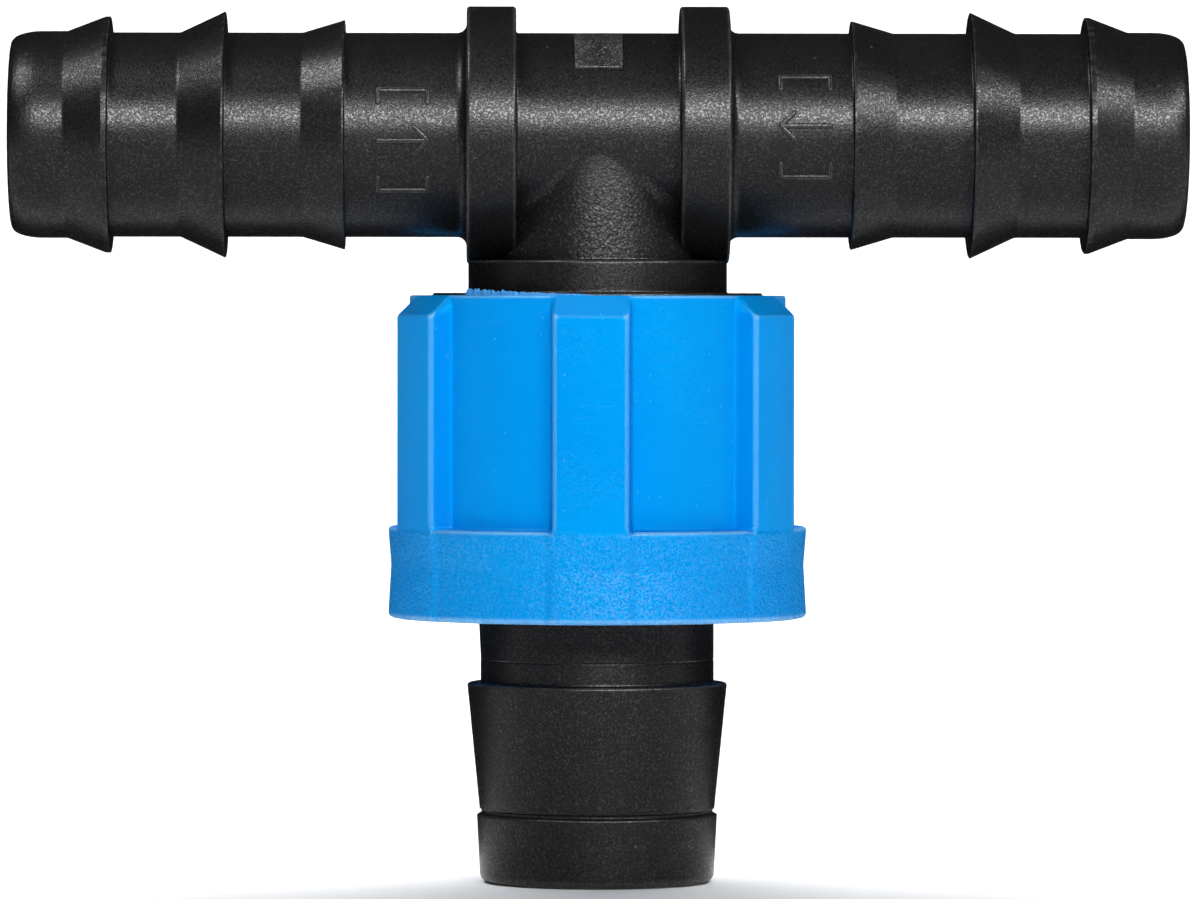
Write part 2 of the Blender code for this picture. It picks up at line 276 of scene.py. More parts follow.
def in_fixed_order(mesh):
    """The same mesh with its points sorted by place, each face begun at its lowest-numbered point, and the
    faces sorted by their first two points. A Boolean gives the same points and faces in an order that
    changes from run to run, and which doubles are merged depends on that order."""
    co = np.empty(len(mesh.vertices) * 3, np.float32)
    mesh.vertices.foreach_get("co", co)
    co = co.reshape(-1, 3)
    order = np.lexsort(co.T)
    number = np.empty(len(co), np.int32)
    number[order] = np.arange(len(co))
    loops = np.empty(len(mesh.loops), np.int32)
    mesh.loops.foreach_get("vertex_index", loops)
    start, size = np.empty((2, len(mesh.polygons)), np.int32)
    mesh.polygons.foreach_get("loop_start", start)
    mesh.polygons.foreach_get("loop_total", size)
    loops = number[loops]
    first = np.minimum.reduceat(loops, start)
    face = np.repeat(np.arange(len(size)), size)
    step = np.arange(len(loops)) - start[face]
    lead = step[loops == first[face]]
    loops = loops[start[face] + (step + lead[face]) % size[face]]
    by = np.lexsort((loops[start + 1], first))
    new_start = np.cumsum(size[by]) - size[by]
    loops = loops[np.repeat(start[by] - new_start, size[by]) + np.arange(len(loops))]
    made = bpy.data.meshes.new(mesh.name)
    made.vertices.add(len(co))
    made.vertices.foreach_set("co", co[order].ravel())
    made.loops.add(len(loops))
    made.loops.foreach_set("vertex_index", loops.astype(np.int32))
    made.polygons.add(len(size))
    made.polygons.foreach_set("loop_start", new_start.astype(np.int32))
    made.update(calc_edges=True)
    bpy.data.meshes.remove(mesh)
    return made


def combined(name, base, *steps):
    """The base mesh after exact Booleans, each an operation and a mesh, with doubles merged."""
    made = []
    for number, mesh in enumerate([base] + [mesh for _, mesh in steps]):
        obj = bpy.data.objects.new(f"{name}_{number}", mesh)
        bpy.context.scene.collection.objects.link(obj)
        made.append(obj)
    for (operation, _), tool in zip(steps, made[1:]):
        step = made[0].modifiers.new(tool.name, "BOOLEAN")
        step.operation = operation
        step.solver = "EXACT"
        step.object = tool
    graph = bpy.context.evaluated_depsgraph_get()
    mesh = bpy.data.meshes.new_from_object(made[0].evaluated_get(graph))
    mesh.name = name
    for obj in made:
        old = obj.data
        bpy.data.objects.remove(obj)
        bpy.data.meshes.remove(old)
    return tidied(in_fixed_order(mesh), 1e-6)


def smooth_step(value, low, high):
    """0 below low, 1 above high, and 3s^2 - 2s^3 between them."""
    share = np.clip((value - low) / (high - low), 0, 1)
    return share * share * (3 - 2 * share)


def waves(t, seed, lowest=3, highest=60, count=18):
    """A sum of cosines of whole-number frequencies with seeded phases, which closes after a full turn."""
    dice = np.random.default_rng(seed)
    total = np.zeros_like(t)
    for frequency in dice.integers(lowest, highest, count):
        total += np.cos(frequency * t + dice.uniform(0, TAU)) / math.sqrt(count)
    return total


def turns_with_parting(count, at=(0, math.pi), ridge=(0.3, 0.6, 1.0, 1.6)):
    """Even turns, with close ones added on both sides of each parting line for its fine ridge."""
    ridge = np.radians(ridge)
    near = np.concatenate([[line, *(line + ridge), *(line - ridge)] for line in at])
    even = np.arange(count) * TAU / count
    apart = np.abs((even[:, None] - near + math.pi) % TAU - math.pi).min(1) > math.radians(0.25)
    return np.sort(np.concatenate([even[apart], near]) % TAU)


def parting_ridge(t, radius, at=(0, math.pi), height=0.035 * MM, width=0.07 * MM):
    """A ridge height * exp(-(s / width)^2) along each parting line, s being the length of arc from it."""
    total = 0
    for line in at:
        arc = ((t - line + math.pi) % TAU - math.pi) * radius
        total = total + height * np.exp(-((arc / width) ** 2))
    return total


# Pieces' marks, read by the materials ------------------------------------------------------------

def paint(mesh, name, values):
    """Keeps one number per point as an attribute of the mesh."""
    layer = mesh.attributes.new(name, "FLOAT", "POINT")
    layer.data.foreach_set("value", values.astype(np.float32))


def places(mesh):
    """The mesh's points, one row each."""
    flat = np.empty(len(mesh.vertices) * 3, np.float32)
    mesh.vertices.foreach_get("co", flat)
    return flat.reshape(-1, 3).astype(float)


def paint_edges(mesh, wear_and_highlight):
    """The first mask is how far a point stands out of its neighbours: the mean over its edges of the normal
    times the unit vector from the neighbour, scaled so that a sharp edge reaches the given weight. It
    marks edges for rubbed wear and for painted edge highlights. The second is the same, inwards, and
    marks creases for painted shade."""
    co = places(mesh)
    normal = np.empty(len(co) * 3, np.float32)
    mesh.vertex_normals.foreach_get("vector", normal)
    normal = normal.reshape(-1, 3)
    ends = np.empty(len(mesh.edges) * 2, np.int32)
    mesh.edges.foreach_get("vertices", ends)
    a, b = ends.reshape(-1, 2).T
    along = co[a] - co[b]
    length = np.linalg.norm(along, axis=1)
    along /= np.maximum(length, 1e-9)[:, None]
    total, count = np.zeros(len(co)), np.zeros(len(co))
    for one, sign in ((a, 1), (b, -1)):
        np.add.at(total, one, sign * np.einsum("ij,ij->i", normal[one], along))
        np.add.at(count, one, 1)
    bend = total / np.maximum(count, 1)
    # Edge mask for rubbed wear and painted edge highlights; crease mask for painted shade.
    paint(mesh, "worn_and_highlit", wear_and_highlight * smooth_step(bend, 0.03, 0.12))
    paint(mesh, "cupped_shade", smooth_step(-bend, 0.03, 0.12))


# Tee --------------------------------------------------------------------------------------------

def half_run_corners():
    """Outer side of one tail, from the hose end to the middle: a quarter-ellipse nose, three barbs with a
    ramp outwards and an upright back, and the collar with its flared foot."""
    lean = np.radians(np.linspace(0, 90, 9))
    nose = zip(NOSE + (TAIL_TIP - NOSE) * np.sin(lean), RUN_HALF - NOSE_LENGTH * (1 - np.cos(lean)))
    corners = [(0, RUN_HALF, 0)] + [(radius, place, 0.02 * MM) for radius, place in nose]
    for (crest, ramp, radius, width), foot in zip(BARBS, (TAIL_TIP, TAIL, TAIL)):
        corners += [
            (foot, ramp, 0.5 * MM),
            (radius, crest + width / 2, 0.05 * MM),
            (radius, crest - width / 2, 0.03 * MM),
            (TAIL, crest - width / 2, 0.12 * MM),
        ]
    return corners + [
        (TAIL, COLLAR_OUTER, 0.62 * MM),
        (RUN_COLLAR, COLLAR_OUTER, 0.22 * MM),
        (RUN_COLLAR, COLLAR_INNER, 0.22 * MM),
        (TAIL, COLLAR_INNER, 0.15 * MM),
    ]


def run_change(t, place, radius):
    """Ragged flash on the barbs' crests, and the ridge of the mould's parting line."""
    total = parting_ridge(t, radius)
    for number, (crest, _, _, width) in enumerate(BARBS):
        for side in (1, -1):
            near = np.exp(-(((place - side * crest) / (width / 2 + 0.1 * MM)) ** 4))
            ragged = waves(t, 40 + 2 * number + side, 5, 70)
            total = total + near * (radius > TAIL + 0.6 * MM) * 0.022 * MM * ragged
    return total


def branch_grid(turns):
    """Branch and thread core in one closed grid. The top is a ball of radius ROOT_FILLET rolled round
    between the run and the branch. At turn t its centre is (B + f) from the branch's axis, and so deep
    that it is (R + f) from the run's axis, for branch radius B, run radius R and fillet f. The surface is
    the ball's arc between its two touching points. Below it the outline is turned."""
    radius = np.full_like(turns, BRANCH_ROOT)
    reach = TAIL + ROOT_FILLET
    for _ in range(4):
        across = (radius + ROOT_FILLET) * np.sin(turns)
        depth = np.sqrt(reach**2 - across**2)
        radius = BRANCH_ROOT + (BRANCH_FOOT - BRANCH_ROOT) * depth / BRANCH_COLLAR_TOP
    ball = np.stack([(radius + ROOT_FILLET) * np.cos(turns), across, depth])
    on_branch = np.stack([radius * np.cos(turns), radius * np.sin(turns), depth])
    on_run = np.stack([ball[0], across * TAIL / reach, depth * TAIL / reach])
    sunk = on_run * np.array([[1], [1 - 0.2 * MM / TAIL], [1 - 0.2 * MM / TAIL]])
    top = np.stack([0 * turns, 0 * turns, BRANCH_TOP + 0 * turns])
    start, end = on_run - ball, on_branch - ball
    angle = np.arccos(np.clip(np.sum(start * end, 0) / ROOT_FILLET**2, -1, 1))
    shares = np.linspace(0, 1, 11)[:, None, None]
    arc = ball + (np.sin((1 - shares) * angle) * start + np.sin(shares * angle) * end) / np.sin(angle)
    shares = np.linspace(0, 1, 8)[1:, None, None]
    foot_depth = BRANCH_COLLAR_TOP - 0.3 * MM
    foot = np.stack([BRANCH_FOOT * np.cos(turns), BRANCH_FOOT * np.sin(turns), foot_depth + 0 * turns])
    side = on_branch + (foot - on_branch) * shares
    upper = np.concatenate([top[None], sunk[None], arc, side])
    outline = rounded(
        [
            (BRANCH_FOOT, foot_depth, 0),
            (BRANCH_FOOT, BRANCH_COLLAR_TOP, 0.2 * MM),
            (BRANCH_COLLAR, BRANCH_COLLAR_TOP, 0.2 * MM),
            (BRANCH_COLLAR, BAND_TOP, 0.12 * MM),
            (BAND, BAND_TOP, 0.15 * MM),
            (BAND, BAND_BOTTOM, 0.1 * MM),
            (THREAD_CORE, BAND_BOTTOM + BAND - THREAD_CORE, 0.4 * MM),
            (THREAD_CORE, TEE_END, 0.4 * MM),
            (0, TEE_END, 0),
        ]
    )[1:]
    lower = turned_points(outline, turns, lambda t, d, r: parting_ridge(t, r) * (r > BRANCH_FOOT))
    upper = np.stack([upper[:, 0], upper[:, 1], AXIS_Z - upper[:, 2]], -1)
    return np.concatenate([upper, lower])


def tee_mesh():
    """The run's turned solid with the branch and the thread added, and the two waterways cut through."""
    half = half_run_corners()
    corners = half + [(radius, -place, rounding) for radius, place, rounding in reversed(half)]
    turns = turns_with_parting(ROUND_STEPS)
    run = grid_mesh("run", run_points(rounded(corners, spans=2), turns, run_change))
    branch = grid_mesh("branch", branch_grid(turns))
    thread = helix_mesh("male_thread", THREAD_CORE, MALE_CREST, MALE_LOW_END, MALE_TURNS)
    even = np.arange(INSIDE_STEPS) * TAU / INSIDE_STEPS
    mouth, past = 0.3 * MM, 1 * MM
    half_bore = [
        (0, RUN_HALF + past, 0),
        (RUN_BORE + mouth, RUN_HALF + past, 0),
        (RUN_BORE + mouth, RUN_HALF, 0.05 * MM),
        (RUN_BORE, RUN_HALF - mouth, 0.2 * MM),
    ]
    corners = half_bore + [(radius, -place, rounding) for radius, place, rounding in reversed(half_bore)]
    run_bore = grid_mesh("run_bore", run_points(rounded(corners), even))
    corners = [
        (0, 0, 0),
        (BRANCH_BORE, 0, 0),
        (BRANCH_BORE, MOUTH_TOP - 2 * MM, 0.5 * MM),
        (MOUTH, MOUTH_TOP, 0.5 * MM),
        (MOUTH, TEE_END - 0.2 * MM, 0.1 * MM),
        (MOUTH + 0.2 * MM, TEE_END, 0.05 * MM),
        (MOUTH + 0.2 * MM, TEE_END + past, 0),
        (0, TEE_END + past, 0),
    ]
    branch_bore = grid_mesh("branch_bore", turned_points(rounded(corners), even + 0.001))
    mesh = combined(
        "tee_moulding",
        run,
        ("UNION", branch),
        ("UNION", thread),
        ("DIFFERENCE", run_bore),
        ("DIFFERENCE", branch_bore),
    )
    co = places(mesh)
    depth = AXIS_Z - co[:, 2]
    out = np.hypot(co[:, 0], co[:, 1])
    on_branch = smooth_step(depth, 1.4 * MM, 5 * MM) * (depth < BRANCH_COLLAR_TOP - 0.05 * MM)
    paint(mesh, "coarse", on_branch * (np.abs(out - BRANCH_FOOT) < 0.3 * MM))
    return mesh


def gate_pad_mesh():
    """Small raised pad on the run's top front, where the mould has a plain insert. In the run's section it
    is a polygon of flat facets just proud of the round, whose corners have these elevations above the
    front and these heights; along the run it is a bar whose section shrinks a little at its ends."""
    half_length = 1.57 * MM
    elevation = np.radians([39, 62, 80, 100])
    proud = np.array([0.22, 0.28, 0.07, -0.3])[:, None] * MM
    outline = np.stack([-np.cos(elevation), np.sin(elevation)], -1)
    corner, deep = (TAIL + proud) * outline, 5.9 * MM * outline
    section = rounded(
        [(*deep[0], 0)] + [(*place, 0.08 * MM) for place in corner] + [(*deep[-1], 0)], spans=6, closed=True
    )
    middle = section.mean(0)
    share = np.array([-1, -1, -0.985, -0.95, 0, 0.95, 0.985, 1, 1])
    size = np.array([0, 0.96, 0.985, 1, 1, 1, 0.985, 0.96, 0])
    flat = middle + (section - middle) * size[:, None, None]
    place = share[:, None] * half_length + 0 * flat[..., 0]
    return grid_mesh("gate_pad", np.stack([place, flat[..., 0], AXIS_Z + flat[..., 1]], -1))


def stroke_grid(path, width=0.34 * MM, height=0.16 * MM, radius=TAIL):
    """A raised stroke on the run: a low rounded section carried along a path of (place, arc) points, with
    round ends. Arc is measured up from the front, and the point at height h is at radius R + h, turned by
    arc / R. Half of each end is a quarter turn of a circle, so the ends are closed at a point."""
    path = np.array(path, float)
    steps = np.linalg.norm(np.diff(path, axis=0), axis=1)
    length = np.concatenate([[0], np.cumsum(steps)])
    even = np.linspace(0, length[-1], max(3, round(length[-1] / (0.15 * MM))))
    line = np.stack([np.interp(even, length, path[:, i]) for i in (0, 1)], -1)
    heading = np.gradient(line, axis=0)
    heading /= np.linalg.norm(heading, axis=1)[:, None]
    cap = np.radians(np.linspace(0, 90, 6))[:-1]
    start = line[0] - heading[0] * (width / 2 * np.cos(cap))[:, None]
    end = line[-1] + heading[-1] * (width / 2 * np.cos(cap[::-1]))[:, None]
    line = np.concatenate([start, line, end])
    heading = np.concatenate([heading[:1].repeat(5, 0), heading, heading[-1:].repeat(5, 0)])
    size = np.concatenate([np.sin(cap), np.ones(len(even)), np.sin(cap[::-1])])[:, None]
    across = np.array([-1.15, -1.0, -0.8, -0.45, 0, 0.45, 0.8, 1.0, 1.15]) * width / 2
    rise = np.array([-0.1 * MM, 0.25 * height, 0.8 * height, height, height, height, 0.8 * height,
                     0.25 * height, -0.1 * MM])
    side = np.stack([-heading[:, 1], heading[:, 0]], -1)
    flat = line[:, None] + side[:, None] * (across * size)[..., None]
    out = radius - 0.1 * MM + (rise + 0.1 * MM) * size**0.5
    turn = flat[..., 1] / radius
    return np.stack([flat[..., 0], -out * np.cos(turn), AXIS_Z + out * np.sin(turn)], -1)


def push_mark_meshes(side):
    """Plain hose-insertion mark on a tail: an arrow along the tail between two bars with short feet."""
    middle, half = (13.47 * MM if side > 0 else -12.8 * MM), 1.62 * MM
    tip = middle - side * half
    back = 0.85 * MM * side
    strokes = [
        [(middle + side * half, 0), (tip, 0)],
        [(tip + back, 0.85 * MM), (tip, 0), (tip + back, -0.85 * MM)],
    ]
    for level in (-3.4 * MM, 3.4 * MM):
        inward = -math.copysign(0.9 * MM, level)
        strokes.append([(middle - half, level + inward), (middle - half, level), (middle + half, level),
                        (middle + half, level + inward)])
    meshes = []
    for number, path in enumerate(strokes):
        path = [(place, arc + side * 0.5 * MM) for place, arc in path]
        meshes.append(grid_mesh(f"stroke_{number}", stroke_grid(path)))
    return meshes


def joined(name, meshes):
    """One mesh that holds all of these, side by side."""
    shape = bmesh.new()
    for mesh in meshes:
        shape.from_mesh(mesh)
        bpy.data.meshes.remove(mesh)
    mesh = bpy.data.meshes.new(name)
    shape.to_mesh(mesh)
    shape.free()
    return mesh


# Nut --------------------------------------------------------------------------------------------

def nut_mesh():
    """A closed grid whose columns go round and whose rows follow an outline. The outline is (1 - w) times
    the recess's outline plus w times the rib's, and w against arc is a rounded trapezoid at each rib.
    Between two ribs the skirt bulges back out by 0.1 mm times m (2 - m), m being 1 in the middle."""
    rise = NUT_RIB - NUT_BODY
    shared = [
        (NUT_RIB, NUT_BOTTOM, 0.35 * MM),
        (FUNNEL, NUT_BOTTOM, 0.2 * MM),
        (NUT_HOLE, SHOULDER_BOTTOM, 0.2 * MM),
        (NUT_HOLE, SHOULDER_TOP, 0.1 * MM),
        (NUT_WALL, SHOULDER_TOP, 0.2 * MM),
        (NUT_WALL, NUT_TOP, 0.15 * MM),
        (NUT_BODY, NUT_TOP, 0.18 * MM),
    ]
    rib = [
        (NUT_RIB, RIB_FULL, 0.35 * MM),
        (NUT_RIB, SKIRT_TOP - 0.3 * MM, 0.1 * MM),
        (NUT_RIB, SKIRT_TOP + 0.3 * MM, 0.1 * MM),
        (NUT_RIB - 0.2 * MM, WAIST, 2.5 * MM),
    ]
    recess = [
        (NUT_BODY, RIB_FULL, 0.35 * MM),
        (NUT_BODY, SKIRT_TOP, 0.25 * MM),
        (NUT_RIB - SKIRT_STEP, SKIRT_TOP, 0.22 * MM),
        (NUT_RIB - 0.2 * MM - SKIRT_STEP, WAIST, 2.5 * MM),
    ]
    rib_rows = rounded(rib + shared, spans=4, closed=True)
    shared[0] = (NUT_RIB - SKIRT_STEP, *shared[0][1:])
    recess_rows = rounded(recess + shared, spans=4, closed=True)
    pitch = TAU / NUT_RIBS
    crest, foot = RIB_HALF_WIDTH * NUT_RIB, RIB_FOOT_HALF_WIDTH * NUT_RIB
    edge = pitch * NUT_RIB / 2
    wave = rounded(
        [(-edge, 0, 0), (-foot, 0, 0.22 * MM), (-crest, rise, 0.4 * MM), (crest, rise, 0.4 * MM),
         (foot, 0, 0.22 * MM), (edge, 0, 0)],
        spans=10,
    )[:-1]
    centres = FRONT_RIB + pitch * np.arange(NUT_RIBS)
    turns = (centres[:, None] + wave[:, 0] / NUT_RIB).ravel()
    weight = np.tile(wave[:, 1] / rise, NUT_RIBS)[None, :, None]
    rows = (1 - weight) * recess_rows[:, None] + weight * rib_rows[:, None]
    radius, depth = rows[..., 0], rows[..., 1]
    middle = np.tile(np.clip((np.abs(wave[:, 0]) - foot) / (edge - foot), 0, 1), NUT_RIBS)[None]
    on_skirt = (recess_rows[:, :1] > NUT_BODY + 0.9 * MM) & (recess_rows[:, 1:] > SKIRT_TOP)
    radius = radius + 0.1 * MM * middle * (2 - middle) * on_skirt
    points = np.stack([radius * np.cos(turns), radius * np.sin(turns), AXIS_Z - depth], -1)
    shell = grid_mesh("nut_shell", points, rows_close=True)
    thread = helix_mesh("female_thread", NUT_WALL, FEMALE_CREST, FEMALE_LOW_END, FEMALE_TURNS)
    mesh = combined("nut_moulding", shell, ("UNION", thread))
    co = places(mesh)
    depth = AXIS_Z - co[:, 2]
    paint(mesh, "coarse", smooth_step(depth, SKIRT_TOP, SKIRT_TOP + 0.4 * MM))
    out = np.hypot(co[:, 0], co[:, 1])
    above_recess = smooth_step(out, NUT_BODY, NUT_BODY + 0.4 * MM)
    below_face = smooth_step(-out, -NUT_RIB, 0.4 * MM - NUT_RIB)
    along_rib = (depth > RIB_FULL - 0.2 * MM) * (depth < SKIRT_TOP - 0.1 * MM)
    # The ribs' side walls, which the blue finish darkens as painted shade.
    paint(mesh, "wall_shade", above_recess * below_face * along_rib)
    return mesh


def nut_flash_mesh():
    """Thin ragged fin of moulding flash on the nut's inner top edge: a closed strip from turn -141 to -92
    degrees, 0.09 mm thick, whose height falls from 0.42 mm to 0.06 mm, times 1 + 0.18 * waves."""
    t = np.radians(np.linspace(-141, -92, 260))
    share = np.linspace(0, 1, len(t))
    height = (0.06 + 0.36 * (1 - share) ** 1.3) * MM * (1 + 0.18 * waves(t, 7, 30, 260, 24))
    height = height * smooth_step(share, 0, 0.02) * (1 - smooth_step(share, 0.9, 1)) + 0.01 * MM
    inner = 11.16 * MM + 0.02 * MM * waves(t, 8, 30, 200)
    sunk = 0.1 * MM
    thick = 0.09 * MM
    sections = [(inner, -sunk), (inner, 0.6 * height), (inner + 0.35 * thick, height),
                (inner + 0.7 * thick, 0.9 * height), (inner + thick, -sunk)]
    radius = np.stack([r + 0 * t for r, _ in sections])
    rise = np.stack([h + 0 * t for _, h in sections])
    points = np.stack([radius * np.cos(t), radius * np.sin(t), AXIS_Z - NUT_TOP + rise], -1)
    points = points.transpose(1, 0, 2)
    points = np.concatenate([points[:1, :1].repeat(5, 1), points, points[-1:, :1].repeat(5, 1)])
    return grid_mesh("nut_top_flash", points)


# Spigot and washer --------------------------------------------------------------------------------

def spigot_mesh():
    """The closed outline turned about the branch's axis, with a fine parting ridge left and right, and a
    wider fin of flash on the neck's left side, height * exp(-(s / width)^2) at an arc s from it."""
    corners = [
        (LIP, LIP_TOP, 0.05 * MM),
        (LIP, FLANGE_TOP, 0.05 * MM),
        (FLANGE, FLANGE_TOP, 0.15 * MM),
        (FLANGE, FLANGE_BOTTOM, 0.15 * MM),
        (NECK, FLANGE_BOTTOM, 0.2 * MM),
        (NECK, NECK_LINE - 0.08 * MM, 0.03 * MM),
        (NECK - 0.03 * MM, NECK_LINE, 0.03 * MM),
        (NECK, NECK_LINE + 0.08 * MM, 0.03 * MM),
        (NECK, CONE_TOP, 0.15 * MM),
        (CONE_SHOULDER, CONE_TOP, 0.16 * MM),
        (CONE_FOOT, 44.42 * MM, 0.06 * MM),
        (END_GROOVE, 44.52 * MM, 0.04 * MM),
        (END_GROOVE, 44.66 * MM, 0.04 * MM),
        (END_BARB, 44.8 * MM, 0.12 * MM),
        (SPIGOT_END, SPIGOT_BOTTOM, 0.6 * MM),
        (SPIGOT_BORE, SPIGOT_BOTTOM, 0.3 * MM),
        (SPIGOT_BORE, LIP_TOP, 0.05 * MM),
    ]

    def change(t, depth, radius):
        """The two parting ridges outside the bore, and the fin from below the flange to the neck's line."""
        fin = parting_ridge(t, radius, (math.pi,), 0.12 * MM, 0.16 * MM)
        fin = fin * (depth > FLANGE_BOTTOM + 0.3 * MM) * smooth_step(-depth, -34.2 * MM, -34.1 * MM)
        return (parting_ridge(t, radius) + fin * (radius < NECK + 0.1 * MM)) * (radius > 7 * MM)

    outline = rounded(corners, spans=3, closed=True)
    points = turned_points(outline, turns_with_parting(ROUND_STEPS), change)
    return grid_mesh("spigot_moulding", points, rows_close=True)


def washer_mesh():
    """A rectangle with rounded corners turned about the branch's axis."""
    corners = [
        (WASHER_OUTER, WASHER_TOP, 0.2 * MM),
        (WASHER_OUTER, WASHER_BOTTOM, 0.2 * MM),
        (WASHER_INNER, WASHER_BOTTOM, 0.2 * MM),
        (WASHER_INNER, WASHER_TOP, 0.2 * MM),
    ]
    turns = np.arange(INSIDE_STEPS) * TAU / INSIDE_STEPS
    points = turned_points(rounded(corners, closed=True), turns)
    return grid_mesh("rubber_washer", points, rows_close=True)


# Materials --------------------------------------------------------------------------------------

def add(tree, kind, inputs=None, **settings):
    """A new node with its settings, and its inputs linked or set by name or number."""
    made = tree.nodes.new(kind)
    for key, value in settings.items():
        setattr(made, key, value)
    for key, value in (inputs or {}).items():
        if isinstance(value, bpy.types.NodeSocket):
            tree.links.new(value, made.inputs[key])
        else:
            made.inputs[key].default_value = value
    return made


def maths(tree, operation, *values):
    """The output of a Math node on these values."""
    return add(tree, "ShaderNodeMath", dict(enumerate(values)), operation=operation).outputs[0]


def blend(tree, share, one, other, kind="RGBA"):
    """one where share is 0 and other where it is 1."""
    made = add(tree, "ShaderNodeMix", data_type=kind)
    sockets = [s for s in made.inputs if s.enabled and s.name in ("Factor", "A", "B")]
    for socket, value in zip(sockets, (share, one, other)):
        if isinstance(value, bpy.types.NodeSocket):
            tree.links.new(value, socket)
        else:
            socket.default_value = value
    return [s for s in made.outputs if s.enabled][0]


def ramp(tree, value, low, high, to_low=0.0, to_high=1.0):
    """to_low where value is low, to_high where it is high, straight between them and level outside."""
    made = add(tree, "ShaderNodeMapRange", {0: value, 1: low, 2: high, 3: to_low, 4: to_high})
    return made.outputs[0]


def noise(tree, place, scale, detail=2.0, rough=0.5):
    """Smooth noise of about 0 to 1, with scale lumps a metre."""
    inputs = {"Vector": place, "Scale": scale, "Detail": detail, "Roughness": rough}
    return add(tree, "ShaderNodeTexNoise", inputs).outputs[0]


def new_group(name, inputs, outputs):
    """A shader node group with (name, kind, value) inputs and (name, kind) outputs, and its two ends."""
    tree = bpy.data.node_groups.new(name, "ShaderNodeTree")
    for title, kind, value in inputs:
        socket = tree.interface.new_socket(title, in_out="INPUT", socket_type=f"NodeSocket{kind}")
        if value is not None:
            socket.default_value = value
    for title, kind in outputs:
        tree.interface.new_socket(title, in_out="OUTPUT", socket_type=f"NodeSocket{kind}")
    return tree, tree.nodes.new("NodeGroupInput").outputs, tree.nodes.new("NodeGroupOutput").inputs


def moulded_skin_group():
    """Height of a spark-eroded mould's print: fine pebbles everywhere, coarse blobs where coarse is 1, and
    a broad slow swell, in metres. Lot is a different number from 0 to 1 for each fine pebble, and Tops is
    1 on the blobs' tops."""
    tree, given, out = new_group(
        "moulded_skin",
        [
            ("Place", "Vector", None), ("Coarse", "Float", 0.0),
            ("Grain", "Float", 8e-6), ("Blobs", "Float", 3e-5),
        ],
        [("Height", "Float"), ("Print", "Float"), ("Lot", "Float"), ("Tops", "Float")],
    )
    pebbles = add(tree, "ShaderNodeTexVoronoi", {"Vector": given["Place"], "Scale": 9000}).outputs
    fine = noise(tree, given["Place"], 7000, 2, 0.6)
    stipple = maths(tree, "SUBTRACT", fine, pebbles["Distance"])
    blobs = add(
        tree, "ShaderNodeTexVoronoi", {"Vector": given["Place"], "Scale": 4800, "Smoothness": 0.4},
        feature="SMOOTH_F1",
    ).outputs["Distance"]
    mid = noise(tree, given["Place"], 3000, 2, 0.5)
    swell = noise(tree, given["Place"], 350, 1, 0.5)
    coarse = maths(tree, "MULTIPLY", maths(tree, "ADD", blobs, mid), given["Coarse"])
    height = maths(tree, "MULTIPLY", stipple, given["Grain"])
    height = maths(tree, "MULTIPLY_ADD", coarse, given["Blobs"], height)
    height = maths(tree, "MULTIPLY_ADD", swell, 2e-5, height)
    tree.links.new(height, out["Height"])
    tree.links.new(fine, out["Print"])
    tree.links.new(add(tree, "ShaderNodeSeparateColor", {0: pebbles["Color"]}).outputs[0], out["Lot"])
    tree.links.new(ramp(tree, maths(tree, "ADD", blobs, mid), 0.85, 0.6), out["Tops"])
    return tree


def edge_wear_group():
    """Mask of edges made bright, for rubbed wear and for painted edge highlights: the edge mask, broken up
    by noise of about a millimetre and of a tenth.
    """
    tree, given, out = new_group(
        "edge_wear_and_highlight", [("Place", "Vector", None), ("Worn", "Float", 0.0), ("Breaks", "Float", 0.5)],
        [("Mask", "Float")],
    )
    patch = ramp(tree, noise(tree, given["Place"], 900, 3, 0.6), 0.35, 0.65)
    nick = ramp(tree, noise(tree, given["Place"], 6000, 2, 0.6), 0.35, 0.7)
    broken = maths(tree, "MULTIPLY", patch, nick)
    left = blend(tree, given["Breaks"], 1.0, broken, "FLOAT")
    tree.links.new(maths(tree, "MULTIPLY", given["Worn"], left), out["Mask"])
    return tree


def dust_group():
    """Mask of sparse pale specks, for dust and for painted glints: one round dot near the middle of a few
    of the cells of a Voronoi.
    """
    tree, given, out = new_group(
        "dust_and_glint_specks", [("Place", "Vector", None), ("Scale", "Float", 900.0), ("Share", "Float", 0.25)],
        [("Mask", "Float")],
    )
    cells = add(tree, "ShaderNodeTexVoronoi", {"Vector": given["Place"], "Scale": given["Scale"]})
    near = ramp(tree, cells.outputs["Distance"], 0.03, 0.1, 1.0, 0.0)
    lot = add(tree, "ShaderNodeSeparateColor", {0: cells.outputs["Color"]}).outputs[0]
    chosen = maths(tree, "LESS_THAN", lot, given["Share"])
    tree.links.new(maths(tree, "MULTIPLY", near, chosen), out["Mask"])
    return tree


def rub_marks_group():
    """Fine scratches along one direction: a noise stretched 30 times along X, thresholded to thin lines."""
    tree, given, out = new_group(
        "rub_marks", [("Place", "Vector", None), ("Amount", "Float", 0.5)], [("Mask", "Float")]
    )
    stretched = add(tree, "ShaderNodeMapping", {"Vector": given["Place"], "Scale": (260, 260, 7800)})
    lines = ramp(tree, noise(tree, stretched.outputs[0], 1.0, 2, 0.5), 0.64, 0.72)
    patch = ramp(tree, noise(tree, given["Place"], 260, 2, 0.5), 0.5, 0.65)
    mask = maths(tree, "MULTIPLY", maths(tree, "MULTIPLY", lines, patch), given["Amount"])
    tree.links.new(mask, out["Mask"])
    return tree


skin = moulded_skin_group()
edge_wear_and_highlight = edge_wear_group()
dust_and_glint_specks = dust_group()
rub_marks = rub_marks_group()


